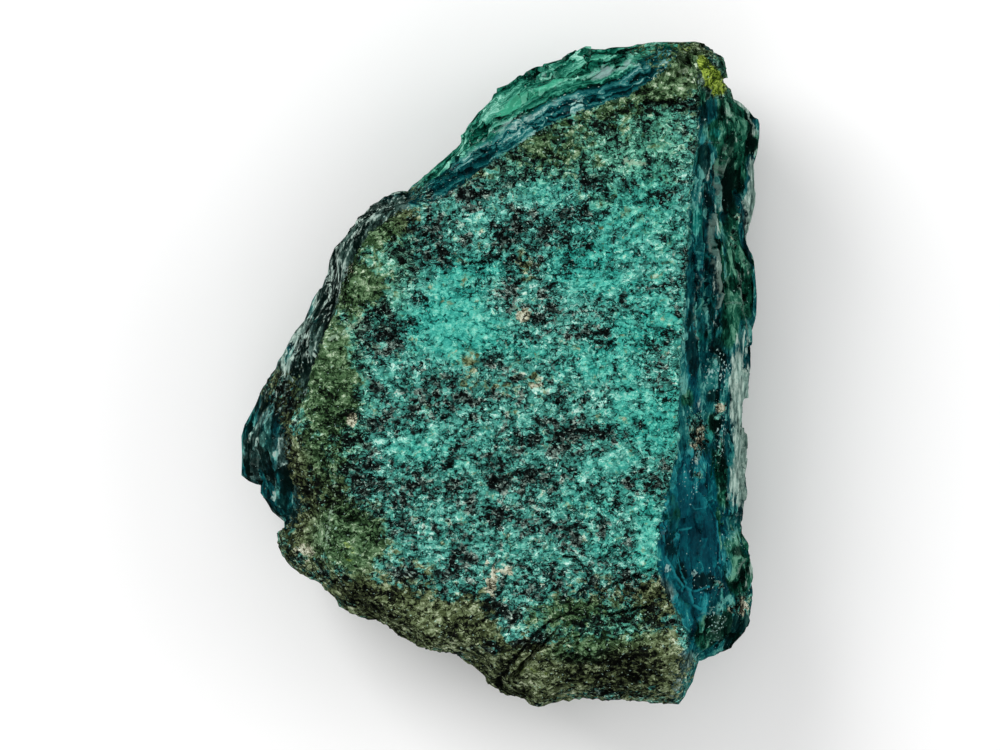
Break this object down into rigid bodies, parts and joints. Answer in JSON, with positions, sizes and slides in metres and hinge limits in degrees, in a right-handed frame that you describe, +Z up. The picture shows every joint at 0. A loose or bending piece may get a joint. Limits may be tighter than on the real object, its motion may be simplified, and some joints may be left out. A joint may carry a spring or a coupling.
{
  "type": "malachite specimen",
  "caption": "Broken hand specimen of copper-stained granular rock with a glassy blue-green vein wall and banded malachite edge, lying on its back.",
  "frame": {"origin": "on the ground, under the middle of the stone's bounding box", "axes": "+Z up, out of the broad broken face; +Y along the stone's length, towards its narrow crest; +X towards the glassy vein wall"},
  "size_m": [0.0652, 0.0832, 0.0323],
  "materials": {
    "malachite_rock": "granular blue-green broken rock, with a glassy dark teal vein and banded green malachite"
  },
  "bodies": {
    "root": {"malachite_stone": "malachite_rock"}
  },
  "joints": []
}
